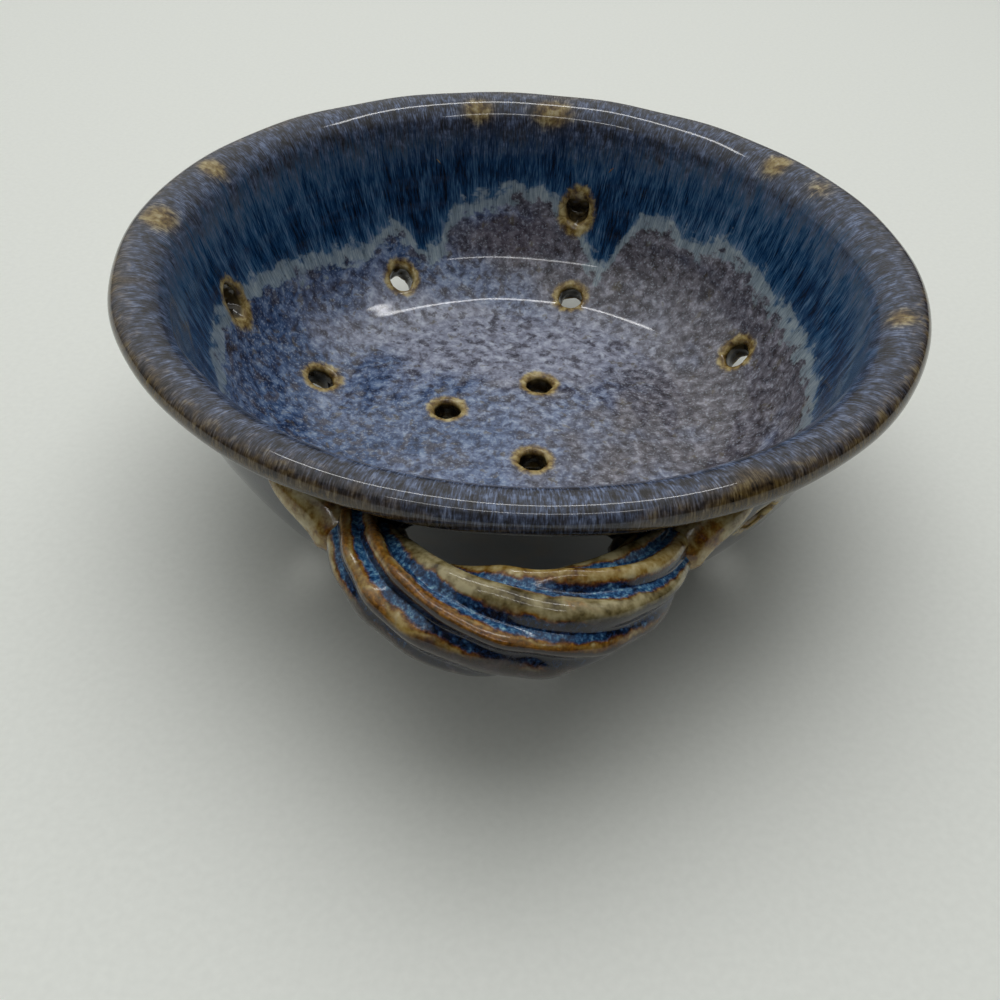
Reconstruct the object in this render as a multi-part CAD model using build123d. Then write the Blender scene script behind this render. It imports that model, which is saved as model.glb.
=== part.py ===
from build123d import *
from math import asin, cos, degrees, hypot, radians, sin, sqrt
import os

# Berry bowl: a thrown stoneware colander with a twisted coil handle at the front and at the back.
# Millimetres. The origin is on the bowl's axis, on the table under the foot ring.
# +Z is up, and the handles lie along Y, the front one towards -Y.

# Thrown bowl
RIM_RADIUS = 85.0  # outermost radius of the lip
BOWL_HEIGHT = 60.0  # table to the top of the lip
LIP_THICKNESS = 6.2
LIP_OVERHANG = 6.0  # how far the lip stands out past the wall
LIP_SHOULDER = 6.0  # rounding from the lip's top into the bowl
LIP_THROAT = 2.0  # hollow rounding under the lip
WALL_THICKNESS = 5.2
WALL_FLARE = 20.5  # how far the wall leans out between floor and lip
WALL_BELLY = 2.4  # how far the wall swells out of straight
HEEL_ROUNDING = 27.0  # between floor and wall, inside
FLOOR_THICKNESS = 6.0
FOOT_RADIUS = 42.0
FOOT_WIDTH = 7.0
FOOT_HEIGHT = 6.0
FOOT_ROUNDING = 1.6

# Drain holes, punched by hand, so their places are uneven. Angles are degrees from +X.
HOLE_DIAMETER = 7.0
FLOOR_HOLE_CIRCLE = 16.3
FLOOR_HOLE_ANGLES = (66, 172, 289)
HEEL_HOLES = ((20, 47), (74, 30), (123, 45), (168, 20), (224, 33), (275, 33), (326, 33))
HEEL_HOLE_SLOPE = 60.0  # degrees that the heel holes run down, going outwards
WALL_HOLE_DROP = 25.4  # below the top of the lip
WALL_HOLE_RISE = 20.0  # degrees that the wall holes, punched from outside, run up, going outwards
WALL_HOLE_ANGLES = (77, 172, 309)

# Twisted handle: coils side by side round one arched axis
COIL_COUNT = 7
HANDLE_SPAN = 54.0  # between the axis ends, where the rope meets the wall
HANDLE_STANDOFF = 17.1  # from the wall out to the axis at mid length
HANDLE_DROP = 15.0  # from the lip's top down to the axis at mid length
HANDLE_SAG = 2.3  # how far the ends lie below the middle
HANDLE_LEAN = 5.4  # how far the sides lean in towards each other
ROPE_RADIUS = 8.6  # over the ridges, at mid length
ROPE_END_RADIUS = 5.2
ROPE_CORE = 1.2  # radius left open where the coils meet
GROOVE_SHARE = 0.2  # depth of the valley between two coils, over the rope's radius
TWIST = 210.0  # degrees from the left end to the right
TWIST_START = -36.0  # where coil 1 lies at mid length, from straight out, downwards
ROPE_SECTIONS = 9

# Pads: tapered wads of clay, smeared along the wall, that the coils end in
PAD_RADIUS = 6.0
PAD_INNER_LENGTH = 12.0  # along the wall, from the rope's end towards the middle
PAD_OUTER_LENGTH = 19.0  # from the rope's end away from the middle
PAD_INNER_DROP = 2.5  # inner tip, below the rope's end
PAD_OUTER_RISE = 6.5  # outer tip, above the rope's end

# Slip joints
COIL_GAP = 0.25
SEAT_GAP = 0.25

# Levels and radii worked out from the sizes above
floor_top = FOOT_HEIGHT + FLOOR_THICKNESS
lip_bottom = BOWL_HEIGHT - LIP_THICKNESS
lip_edge_radius = RIM_RADIUS - LIP_THICKNESS / 2  # where the lip's round edge starts
wall_top_radius = RIM_RADIUS - LIP_OVERHANG
wall_foot_radius = wall_top_radius - WALL_FLARE


def circle_through(low, high, belly):
    """Centre and radius of the circle through two points that bulges outwards by belly."""
    run, rise = high[0] - low[0], high[1] - low[1]
    chord = hypot(run, rise)
    radius = chord**2 / (8 * belly) + belly / 2
    depth = radius - belly
    middle = ((low[0] + high[0]) / 2, (low[1] + high[1]) / 2)
    return (middle[0] - depth * rise / chord, middle[1] + depth * run / chord), radius


wall_centre, wall_radius = circle_through(
    (wall_foot_radius, FOOT_HEIGHT), (wall_top_radius, lip_bottom), WALL_BELLY
)
inner_wall_radius = wall_radius - WALL_THICKNESS


def wall_reach(z, radius=wall_radius):
    """Distance of the wall's curve from the bowl's axis at height z."""
    return wall_centre[0] + sqrt(radius**2 - (z - wall_centre[1]) ** 2)


def wall_arc(z_from, z_to, radius):
    """The wall's curve between two heights, in the half plane of radius and height."""
    z_middle = (z_from + z_to) / 2
    points = [(wall_reach(z, radius), z) for z in (z_from, z_middle, z_to)]
    return ThreePointArc(*points)


def rounded(profile, corner, radius):
    """The profile with the corner nearest to a point rounded off."""
    vertex = profile.vertices().sort_by_distance(corner)[0]
    return fillet(vertex, radius)


def bowl_profile():
    """Half section of the bowl: radius along X, height along Y."""
    axis_top = (0, floor_top)
    heel = (wall_reach(floor_top, inner_wall_radius), floor_top)
    shoulder = (wall_reach(BOWL_HEIGHT, inner_wall_radius), BOWL_HEIGHT)
    lip_top_edge = (lip_edge_radius, BOWL_HEIGHT)
    rim = (RIM_RADIUS, BOWL_HEIGHT - LIP_THICKNESS / 2)
    lip_bottom_edge = (lip_edge_radius, lip_bottom)
    throat = (wall_top_radius, lip_bottom)
    outer_heel = (wall_foot_radius, FOOT_HEIGHT)
    foot_top = (FOOT_RADIUS, FOOT_HEIGHT)
    foot_outside = (FOOT_RADIUS, 0)
    foot_inside = (FOOT_RADIUS - FOOT_WIDTH, 0)
    recess = (FOOT_RADIUS - FOOT_WIDTH, FOOT_HEIGHT)
    axis_bottom = (0, FOOT_HEIGHT)

    edges = [
        Line(axis_top, heel),
        wall_arc(floor_top, BOWL_HEIGHT, inner_wall_radius),
        Line(shoulder, lip_top_edge),
        ThreePointArc(lip_top_edge, rim, lip_bottom_edge),
        Line(lip_bottom_edge, throat),
        wall_arc(lip_bottom, FOOT_HEIGHT, wall_radius),
        Polyline(outer_heel, foot_top, foot_outside, foot_inside, recess, axis_bottom, axis_top),
    ]
    profile = make_face(edges)

    # The outer heel follows the inner one, as far as the foot ring leaves room.
    depth = wall_centre[1] - FOOT_HEIGHT
    reach = FOOT_RADIUS + 1.5 * FOOT_ROUNDING - wall_centre[0]
    room = (wall_radius**2 - depth**2 - reach**2) / (2 * (wall_radius - depth))
    outer_rounding = min(HEEL_ROUNDING + WALL_THICKNESS, room)

    roundings = (
        (heel, HEEL_ROUNDING),
        (shoulder, min(LIP_SHOULDER, lip_edge_radius - shoulder[0])),
        (throat, min(LIP_THROAT, lip_edge_radius - throat[0])),
        (outer_heel, outer_rounding),
        (foot_top, FOOT_ROUNDING),
        (foot_outside, FOOT_ROUNDING),
        (foot_inside, FOOT_ROUNDING),
        (recess, FOOT_ROUNDING),
    )
    for corner, radius in roundings:
        profile = rounded(profile, corner, radius)
    return profile


def drain(reach, height, slope, angle):
    """A hole cutter through a point of the wall, running down outwards at a slope."""
    length = 4 * max(WALL_THICKNESS, FLOOR_THICKNESS)
    cutter = Cylinder(HOLE_DIAMETER / 2, length)
    return Rot(0, 0, angle) * Pos(reach, 0, height) * Rot(0, 90 + slope, 0) * cutter


def drain_holes():
    """Cutters for the floor, heel and wall holes."""
    cutters = [drain(FLOOR_HOLE_CIRCLE, floor_top, 90, angle) for angle in FLOOR_HOLE_ANGLES]

    heel_height = floor_top + HEEL_ROUNDING
    heel_drop = heel_height - wall_centre[1]
    heel_reach = wall_centre[0] + sqrt((inner_wall_radius - HEEL_ROUNDING) ** 2 - heel_drop**2)
    for angle, turn in HEEL_HOLES:
        reach = heel_reach + HEEL_ROUNDING * sin(radians(turn))
        height = heel_height - HEEL_ROUNDING * cos(radians(turn))
        cutters.append(drain(reach, height, HEEL_HOLE_SLOPE, angle))

    height = BOWL_HEIGHT - WALL_HOLE_DROP
    reach = wall_reach(height, inner_wall_radius)
    cutters += [drain(reach, height, -WALL_HOLE_RISE, angle) for angle in WALL_HOLE_ANGLES]
    return cutters


def bowl_body():
    """The thrown bowl with its lip, foot ring and punched holes."""
    body = revolve(Plane.XZ * bowl_profile(), Axis.Z)
    return body - drain_holes()


def wall_block(gap):
    """The bowl's outside, filled in and grown by a gap, to fit the handles to it."""
    radius = wall_radius + gap
    under_lip = lip_bottom - gap
    edges = [
        Line((0, FOOT_HEIGHT), (wall_reach(FOOT_HEIGHT, radius), FOOT_HEIGHT)),
        wall_arc(FOOT_HEIGHT, under_lip, radius),
        Polyline(
            (wall_reach(under_lip, radius), under_lip),
            (RIM_RADIUS + gap, under_lip),
            (RIM_RADIUS + gap, BOWL_HEIGHT),
            (0, BOWL_HEIGHT),
            (0, FOOT_HEIGHT),
        ),
    ]
    return revolve(Plane.XZ * make_face(edges), Axis.Z)


# The front handle's axis
handle_height = BOWL_HEIGHT - HANDLE_DROP
rope_end_height = handle_height - HANDLE_SAG
seat_radius = wall_reach(rope_end_height)
seat_angle = degrees(asin(HANDLE_SPAN / 2 / seat_radius))


def rope_axis():
    """The arch of the front handle, from inside the wall at the left to inside it at the right."""
    root_y = sqrt(seat_radius**2 - (HANDLE_SPAN / 2) ** 2) - WALL_THICKNESS / 2
    crown_y = wall_reach(handle_height) + HANDLE_STANDOFF
    # The middle of a cubic curve lies three quarters of the way out to its control points.
    control_y = root_y + (crown_y - root_y) / 0.75
    control_z = rope_end_height + HANDLE_SAG / 0.75
    side = HANDLE_SPAN / 2
    return Bezier(
        (-side, -root_y, rope_end_height),
        (HANDLE_LEAN - side, -control_y, control_z),
        (side - HANDLE_LEAN, -control_y, control_z),
        (side, -root_y, rope_end_height),
    )


def coil_section(rope_radius):
    """One coil across the rope: a wedge from the core with a rounded outside, along +X."""
    half = radians(180 / COIL_COUNT)
    valley = rope_radius * (1 - GROOVE_SHARE)

    def corner(distance, side):
        x = distance * cos(half) + COIL_GAP / 2 * sin(half)
        y = distance * sin(half) - COIL_GAP / 2 * cos(half)
        return (x, side * y)

    return make_face(
        [
            ThreePointArc(corner(valley, -1), (rope_radius, 0), corner(valley, 1)),
            Polyline(
                corner(valley, 1), corner(ROPE_CORE, 1), corner(ROPE_CORE, -1), corner(valley, -1)
            ),
        ]
    )


def coil(axis, number):
    """One coil of the rope, twisted round its axis."""
    sections = []
    for step in range(ROPE_SECTIONS):
        along = step / (ROPE_SECTIONS - 1)
        fullness = sin(radians(180) * along)
        rope_radius = ROPE_END_RADIUS + (ROPE_RADIUS - ROPE_END_RADIUS) * fullness
        forward = axis.tangent_at(along)
        outwards = forward.cross(Vector(0, 0, 1))
        across = Plane(axis.position_at(along), x_dir=outwards, z_dir=forward)
        turned = TWIST_START + TWIST * (along - 0.5) + 360 * number / COIL_COUNT
        sections.append(across * Rot(0, 0, turned) * coil_section(rope_radius))
    return loft(sections)


def pad_block(side, gap):
    """The whole tapered wad at one end of the rope, before it is pressed on to the wall."""

    def tip(arc_length, rise):
        height = rope_end_height + rise
        reach = wall_reach(height)
        angle = radians(seat_angle + degrees(arc_length / reach))
        return Vector(side * reach * sin(angle), -reach * cos(angle), height)

    inner = tip(-PAD_INNER_LENGTH, -PAD_INNER_DROP)
    outer = tip(PAD_OUTER_LENGTH, PAD_OUTER_RISE)
    length = (outer - inner).length + 2 * gap
    along = Plane((inner + outer) / 2, x_dir=outer - inner, z_dir=Vector(0, 0, 1).cross(outer - inner))
    lens = make_face(
        [
            ThreePointArc((-length / 2, 0), (0, PAD_RADIUS + gap), (length / 2, 0)),
            Line((length / 2, 0), (-length / 2, 0)),
        ]
    )
    return revolve(along * lens, Axis(along.origin, along.x_dir))


def front_handle():
    """The front handle's pieces by name: coils and the two end pads."""
    wall = wall_block(SEAT_GAP)
    sides = {"left": -1, "right": 1}
    pads = {name: pad_block(side, 0) - wall for name, side in sides.items()}
    seat = wall + [pad_block(side, SEAT_GAP) for side in sides.values()]
    axis = rope_axis()
    pieces = {f"pad_{name}": pad for name, pad in pads.items()}
    for number in range(COIL_COUNT):
        pieces[f"coil_{number + 1}"] = coil(axis, number) - seat
    return pieces


def write(name, shape):
    """Write one piece to its own file."""
    solids = shape.solids()
    print(name, len(solids), "solid", round(shape.volume), "mm3")
    export_step(shape, f"parts/{name}.step")


os.makedirs("parts", exist_ok=True)
write("bowl_body", bowl_body())
for name, piece in front_handle().items():
    write(f"front_handle_{name}", piece)
    write(f"back_handle_{name}", Rot(0, 0, 180) * piece)
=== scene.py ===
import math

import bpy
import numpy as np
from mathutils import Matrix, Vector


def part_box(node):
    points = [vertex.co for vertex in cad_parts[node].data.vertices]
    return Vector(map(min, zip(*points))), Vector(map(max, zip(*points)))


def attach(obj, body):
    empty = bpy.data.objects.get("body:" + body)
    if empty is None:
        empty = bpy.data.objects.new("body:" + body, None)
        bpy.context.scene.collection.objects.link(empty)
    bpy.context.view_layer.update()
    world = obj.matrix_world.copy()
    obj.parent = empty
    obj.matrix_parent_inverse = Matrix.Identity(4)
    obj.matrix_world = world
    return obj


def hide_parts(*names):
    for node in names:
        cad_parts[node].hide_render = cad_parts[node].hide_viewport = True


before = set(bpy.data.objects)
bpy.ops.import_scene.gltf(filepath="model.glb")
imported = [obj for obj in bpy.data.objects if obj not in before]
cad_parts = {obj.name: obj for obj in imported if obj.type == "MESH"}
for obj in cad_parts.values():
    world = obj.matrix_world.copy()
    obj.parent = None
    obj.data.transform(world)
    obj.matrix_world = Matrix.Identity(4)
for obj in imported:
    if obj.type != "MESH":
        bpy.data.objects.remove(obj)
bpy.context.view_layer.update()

# %% [markdown]
# # A berry bowl in floating blue stoneware
# A berry bowl is a small colander. The potter throws a wide bowl, turns a foot ring on it, punches
# holes through floor and wall for the rinse water, and presses a twisted handle on to two sides.
# The CAD frame is loaded already and gives every piece its place and size. The lesson puts a fired,
# glazed skin over each of its pieces and leaves the frame itself alone.

MM = 0.001  # the lesson works in millimetres, Blender in metres
bowl_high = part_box("bowl_body")[1]
RIM = bowl_high.x / MM
HEIGHT = bowl_high.z / MM
print(f"bowl {2 * RIM:.1f} mm across the lip, {HEIGHT:.1f} mm high, {len(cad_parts)} CAD nodes")

# %% [markdown]
# ## Looking down into it
# The bowl is seen from above and in front, close enough that the near lip looks much wider than the
# far one. A camera can be aimed with a Track To constraint, but here the eye's place, its downward
# angle and its slight roll are known, so its matrix is simply the three of them multiplied.

# %% Camera
EYE = Vector((-1.9, -194.3, 164.4)) * MM
LOOK_DOWN = 42.84  # degrees under the horizon
ROLL = 3.05  # degrees
SENSOR, LENS = 36, 36  # mm, so the frame is as wide as the thing in it is far away
NEAREST = 10 * MM  # well before the near lip

scene = bpy.context.scene
scene.view_settings.view_transform = "Standard"
camera = bpy.data.objects.new("camera", bpy.data.cameras.new("camera"))
camera.data.sensor_width = SENSOR
camera.data.lens = LENS
camera.data.clip_start = NEAREST
tilt = Matrix.Rotation(math.radians(90 - LOOK_DOWN), 4, "X")
roll = Matrix.Rotation(math.radians(ROLL), 4, "Z")
camera.matrix_world = Matrix.Translation(EYE) @ tilt @ roll
scene.collection.objects.link(camera)
scene.camera = camera
print(f"camera {EYE.length:.3f} m from the middle of the foot")

# %% [markdown]
# ## Nodes and colours
# Every finish below is a small tree of shader nodes. Three helpers keep the trees short to read: one
# turns a paint-chart hex colour to the linear light that shaders work in, one adds a node with its
# settings and links, and one starts a material. A ramp's stops are places and hex colours.


# %% Helpers for shader trees
def linear(hex_colour):
    """A hex sRGB colour as linear RGBA."""
    values = [int(hex_colour[i : i + 2], 16) / 255 for i in (1, 3, 5)]
    return [v / 12.92 if v < 0.04045 else ((v + 0.055) / 1.055) ** 2.4 for v in values] + [1.0]


def node(tree, kind, settings=None, inputs=None, stops=()):
    """Add one shader node. Inputs are values or other nodes' sockets, stops are a ramp's colours."""
    made = tree.nodes.new("ShaderNode" + kind)
    for name, value in (settings or {}).items():
        setattr(made, name, value)
    for name, value in (inputs or {}).items():
        if isinstance(value, bpy.types.NodeSocket):
            tree.links.new(value, made.inputs[name])
        else:
            made.inputs[name].default_value = value
    for number, (place, colour) in enumerate(stops):
        ramp = made.color_ramp.elements
        stop = ramp[number] if number < 2 else ramp.new(place)
        stop.position = place
        stop.color = linear(colour)
    return made


def new_material(name):
    """An empty material with its output node."""
    made = bpy.data.materials.new(name)
    made.use_nodes = True
    made.node_tree.nodes.clear()
    return made, made.node_tree, made.node_tree.nodes.new("ShaderNodeOutputMaterial")


# %% [markdown]
# ## Table, flag and room
# Glaze is glass, so what it mirrors matters as much as its colour. The room is pale, and palest at the
# back and left, so the shadow falls softly forwards. In front stands what a studio calls a flag: a
# dark felt screen that keeps light away. The camera doesn't see it, but the glaze mirrors it, and so
# the wall that faces the viewer stays deep blue. Two long narrow lamps hang over the table, and only
# draw the pairs of thin bright lines along the lip and the heel. A softbox lights the pot from above; it
# stands for light through a polarising filter, which gives no mirror image in the glaze.

# %% Table
TABLE_SIZE = 4000 * MM
TABLE_GRAIN = 1.5  # mm, the faint grain of the white board

bpy.ops.mesh.primitive_grid_add(x_subdivisions=8, y_subdivisions=8, size=TABLE_SIZE)
table = bpy.context.object
table.name = "table"

# White melamine board: pressed resin paper, almost even in colour, with a dull sheen.
melamine, tree, output = new_material("white_melamine_board")
place = node(tree, "TexCoord").outputs["Object"]
grain = node(tree, "TexNoise", inputs={"Vector": place, "Scale": 1 / (TABLE_GRAIN * MM), "Detail": 2})
shades = ((0.3, "#EFF1EC"), (0.7, "#F3F5F0"))
tone = node(tree, "ValToRGB", inputs={"Fac": grain.outputs["Fac"]}, stops=shades)
finish = {"Base Color": tone.outputs["Color"], "Roughness": 0.55, "IOR": 1.5}
board = node(tree, "BsdfPrincipled", inputs=finish)
tree.links.new(board.outputs["BSDF"], output.inputs["Surface"])
table.data.materials.append(melamine)
print(f"{melamine.name} on a table {TABLE_SIZE:.0f} m wide")

# %% Flag
FLAG_DISTANCE = 750 * MM
FLAG_WIDTH, FLAG_HEIGHT = 2200 * MM, 700 * MM
FELT_FIBRE = 2.0  # mm

bpy.ops.mesh.primitive_grid_add(x_subdivisions=8, y_subdivisions=8, size=1)
flag = bpy.context.object
flag.name = "flag"
flag.scale = (FLAG_WIDTH, FLAG_HEIGHT, 1)
flag.rotation_euler.x = math.radians(90)
flag.location = (0, -FLAG_DISTANCE, FLAG_HEIGHT / 2)
flag.visible_camera = False

# Dark wool felt: matted fibres that swallow light.
felt, tree, output = new_material("dark_wool_felt")
place = node(tree, "TexCoord").outputs["Object"]
fibre = node(tree, "TexNoise", inputs={"Vector": place, "Scale": 1 / (FELT_FIBRE * MM), "Detail": 3})
shades = ((0.3, "#2E2D2B"), (0.7, "#3A3937"))
tone = node(tree, "ValToRGB", inputs={"Fac": fibre.outputs["Fac"]}, stops=shades)
wool = node(tree, "BsdfPrincipled", inputs={"Base Color": tone.outputs["Color"], "Roughness": 0.95})
tree.links.new(wool.outputs["BSDF"], output.inputs["Surface"])
flag.data.materials.append(felt)
print(f"{felt.name} on a flag {FLAG_HEIGHT:.1f} m high")

# %% Room and lamps
LAMP_DISTANCE = 1.0  # m
LAMP_LENGTH = 0.9
LAMPS = (  # degrees, width in m, watts, and whether it shows in the glaze or lights the pot
    ("front_strip", 59, 0.03, 0.8, True),
    ("rear_strip", 107, 0.06, 1.8, True),
    ("softbox", 104, 1.3, 4.4, False),
)
PALE_SIDE = (-0.20, 0.30, 0.85)  # the room is palest towards the left, the back and above
DARKEST, PALEST = 0.2, 0.85  # how far towards that side
ROOM_LIGHT = 0.78

for name, angle, width, watts, mirrored in LAMPS:  # 0 degrees is level in front, 90 is overhead
    data = bpy.data.lights.new(name, "AREA")
    data.shape = "RECTANGLE"
    data.size = LAMP_LENGTH
    data.size_y = width
    data.energy = watts
    lamp = bpy.data.objects.new(name, data)
    turn = math.radians(angle)
    lamp.location = (0, -LAMP_DISTANCE * math.cos(turn), LAMP_DISTANCE * math.sin(turn))
    lamp.rotation_euler.x = math.radians(90 - angle)
    scene.collection.objects.link(lamp)
    lamp.visible_diffuse = not mirrored
    lamp.visible_glossy = mirrored

room = bpy.data.worlds.new("room")
scene.world = room
room.use_nodes = True
tree = room.node_tree
tree.nodes.clear()
towards = node(tree, "TexCoord").outputs["Generated"]
facing = node(tree, "VectorMath", {"operation": "DOT_PRODUCT"}, {0: towards, 1: PALE_SIDE})
span = {"Value": facing.outputs["Value"], "From Min": DARKEST, "From Max": PALEST}
depth = node(tree, "MapRange", inputs=span)
shades = ((0.0, "#222221"), (1.0, "#FDFFFB"))
walls = node(tree, "ValToRGB", inputs={"Fac": depth.outputs["Result"]}, stops=shades)
light = node(tree, "Background", inputs={"Color": walls.outputs["Color"], "Strength": ROOM_LIGHT})
tree.links.new(light.outputs[0], tree.nodes.new("ShaderNodeOutputWorld").inputs["Surface"])
print(f"{len(LAMPS)} lamps, a flag and a pale room")

# %% [markdown]
# ## The thrown bowl's outline
# Thrown clay is round about the wheel's axis, so one outline says nearly everything: floor, heel,
# wall, rolled lip, outside, foot. A Screw modifier could spin it, but holes are to be cut with soft
# edges later, so the outline is kept as straight runs and arcs whose distance can be measured. The
# wall follows two flat circles about one centre, and every rounding is a circle that touches them.

# %% Levels and roundings
FLOOR, UNDER = 12.0, 6.0
LIP = 3.1  # radius of the rolled lip
WALL_CENTRE = np.array([-59.63, 84.96])
WALL_INSIDE, WALL_OUTSIDE = 136.89, 142.09
HEEL, OUTER_HEEL = 27.0, 24.81
SHOULDER, THROAT = 8.0, 2.0
FOOT, FOOT_INSIDE, FOOT_EDGE = 42.0, 35.0, 1.6


def wall_reach(height, radius):
    """How far from the axis a circle about the wall's centre is at a height."""
    return WALL_CENTRE[0] + np.sqrt(radius**2 - (height - WALL_CENTRE[1]) ** 2)


def touch(centre, radius):
    """Where a rounding touches the wall's circle."""
    away = centre - WALL_CENTRE
    return WALL_CENTRE + away / np.linalg.norm(away) * radius


heel, shoulder, throat, outer_heel = [
    np.array([wall_reach(height, radius), height])
    for height, radius in (
        (FLOOR + HEEL, WALL_INSIDE - HEEL),
        (HEIGHT - SHOULDER, WALL_INSIDE + SHOULDER),
        (HEIGHT - 2 * LIP - THROAT, WALL_OUTSIDE + THROAT),
        (UNDER + OUTER_HEEL, WALL_OUTSIDE - OUTER_HEEL),
    )
]
print(f"wall {WALL_OUTSIDE - WALL_INSIDE:.1f} mm thick, heel rounded by {HEEL:.0f} mm")

# %% Runs and arcs: name, end, centre, and 1 for a hollow rounding or -1 for a swelling one
steps = (
    ("floor", (heel[0], FLOOR), None, 0),
    ("heel", touch(heel, WALL_INSIDE), heel, 1),
    ("wall", touch(shoulder, WALL_INSIDE), WALL_CENTRE, 1),
    ("shoulder", (shoulder[0], HEIGHT), shoulder, -1),
    ("top", (RIM - LIP, HEIGHT), None, 0),
    ("lip", (RIM - LIP, HEIGHT - 2 * LIP), (RIM - LIP, HEIGHT - LIP), -1),
    ("under_lip", (throat[0], HEIGHT - 2 * LIP), None, 0),
    ("throat", touch(throat, WALL_OUTSIDE), throat, 1),
    ("outside", touch(outer_heel, WALL_OUTSIDE), WALL_CENTRE, -1),
    ("outer_heel", (outer_heel[0], UNDER), outer_heel, -1),
    ("underside", (FOOT + FOOT_EDGE, UNDER), None, 0),
    ("foot_root", (FOOT, UNDER - FOOT_EDGE), (FOOT + FOOT_EDGE, UNDER - FOOT_EDGE), 1),
    ("foot_side", (FOOT, FOOT_EDGE), None, 0),
    ("foot_edge", (FOOT - FOOT_EDGE, 0), (FOOT - FOOT_EDGE, FOOT_EDGE), -1),
    ("foot_ring", (FOOT_INSIDE + FOOT_EDGE, 0), None, 0),
    ("inner_edge", (FOOT_INSIDE, FOOT_EDGE), (FOOT_INSIDE + FOOT_EDGE, FOOT_EDGE), -1),
    ("inner_side", (FOOT_INSIDE, UNDER - FOOT_EDGE), None, 0),
    ("recess", (FOOT_INSIDE - FOOT_EDGE, UNDER), (FOOT_INSIDE - FOOT_EDGE, UNDER - FOOT_EDGE), 1),
    ("bottom", (0, UNDER), None, 0),
)
outline, starts, travelled, last = [], {}, 0.0, np.array([0.0, FLOOR])
for name, end, centre, hollow in steps:
    end = np.array(end, float)
    length = np.linalg.norm(end - last)
    part = {"from": last, "to": end, "at": travelled, "hollow": hollow, "length": length}
    if hollow:
        part["centre"] = np.array(centre, float)
        part["radius"] = np.linalg.norm(last - part["centre"])
        part["length"] = 2 * part["radius"] * math.asin(min(1, length / 2 / part["radius"]))
    outline.append(part)
    starts[name] = travelled
    travelled += part["length"]
    last = end
print(f"outline {travelled:.0f} mm long, shoulder starts {starts['shoulder']:.1f} mm along it")


# %% Signed distance to the outline
FAR = 1e9  # mm, further than anything


def outline_distance(reach, height):
    """Distance to the bowl's skin (negative inside the clay) and how far along the outline it is."""
    nearest = np.full(reach.shape, FAR)
    signed = np.zeros(reach.shape)
    walk = np.zeros(reach.shape)
    for part in outline:
        if part["hollow"]:
            x, z = reach - part["centre"][0], height - part["centre"][1]
            a, b = part["from"] - part["centre"], part["to"] - part["centre"]
            way, radius = part["hollow"], part["radius"]
            away = np.hypot(x, z)
            within = (way * (a[0] * z - a[1] * x) >= 0) & (way * (x * b[1] - z * b[0]) >= 0)
            out = way * (radius - away)
            gap = np.where(within, np.abs(out), FAR)
            along = radius * np.arccos(np.clip((x * a[0] + z * a[1]) / (radius * away + 1e-9), -1, 1))
        else:
            run = (part["to"] - part["from"]) / part["length"]
            x, z = reach - part["from"][0], height - part["from"][1]
            along = np.clip(x * run[0] + z * run[1], 0, part["length"])
            out = run[0] * z - run[1] * x
            gap = np.hypot(x - along * run[0], z - along * run[1])
        closer = gap < nearest
        nearest = np.where(closer, gap, nearest)
        signed = np.where(closer, np.copysign(gap, out), signed)
        walk = np.where(closer, part["at"] + along, walk)
    return signed, walk


# %% [markdown]
# ## Punched holes
# The holes are punched by hand through leather-hard clay, so their places are uneven: three in the
# floor, a ring round the heel that drains down and outwards, and three higher up that were punched
# from outside. Melting glaze ran across one of those and closed it with a dark blue film. A Boolean
# modifier leaves knife edges, while glaze leaves every edge soft. Cutting the holes in the distance
# field and blending there gives a rounded edge for one more formula.

# %% Hole axes
HOLE = 6.4  # mm across: a 7 mm punch, less the glaze that coats the bore
HOLE_REACH = 14  # mm that a bore runs to either side of the inner skin
FLOOR_HOLES, FLOOR_HOLE_CIRCLE = (66, 172, 289), 16.3  # degrees round the axis
HEEL_HOLES = (  # degrees round the axis, degrees up the heel's rounding
    (20, 47), (74, 30), (123, 45), (168, 20), (224, 33), (275, 33), (326, 33),
)
HEEL_HOLE_FALL = 60  # degrees under level, outwards
WALL_HOLES, WALL_HOLE_HEIGHT, WALL_HOLE_FALL = (77, 172, 309), HEIGHT - 25.4, -20
BRIDGED, FILM_DEPTH, FILM = 77, 3.4, 1.8  # glaze closed this one: degrees, mm deep, mm thick


def hole_axis(angle, reach, height, fall, bridged=False):
    """A point on a hole's axis, its direction, falling outwards, and whether glaze closed it."""
    turn, fall = math.radians(angle), math.radians(fall)
    spoke = np.array([math.cos(turn), math.sin(turn), 0])
    along = spoke * math.cos(fall) - [0, 0, math.sin(fall)]
    return spoke * reach + [0, 0, height], along, bridged


holes = [hole_axis(angle, FLOOR_HOLE_CIRCLE, FLOOR, 90) for angle in FLOOR_HOLES]
for angle, turn in HEEL_HOLES:
    place = heel + HEEL * np.array([math.sin(math.radians(turn)), -math.cos(math.radians(turn))])
    holes.append(hole_axis(angle, *place, HEEL_HOLE_FALL))
for angle in WALL_HOLES:
    reach = wall_reach(WALL_HOLE_HEIGHT, WALL_INSIDE)
    holes.append(hole_axis(angle, reach, WALL_HOLE_HEIGHT, WALL_HOLE_FALL, angle == BRIDGED))
print(f"{len(holes)} holes")


# %% The whole bowl as one distance field
def waves(points, length, seed, count=10):
    """Smooth unevenness between about -1 and 1: plane waves of one length in random directions."""
    random = np.random.default_rng(seed)
    directions = random.normal(size=(count, 3))
    directions *= 2 * math.pi / length / np.linalg.norm(directions, axis=1)[:, None]
    return np.sin(points @ directions.T + random.uniform(0, 2 * math.pi, count)).sum(1) / math.sqrt(count)


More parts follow.
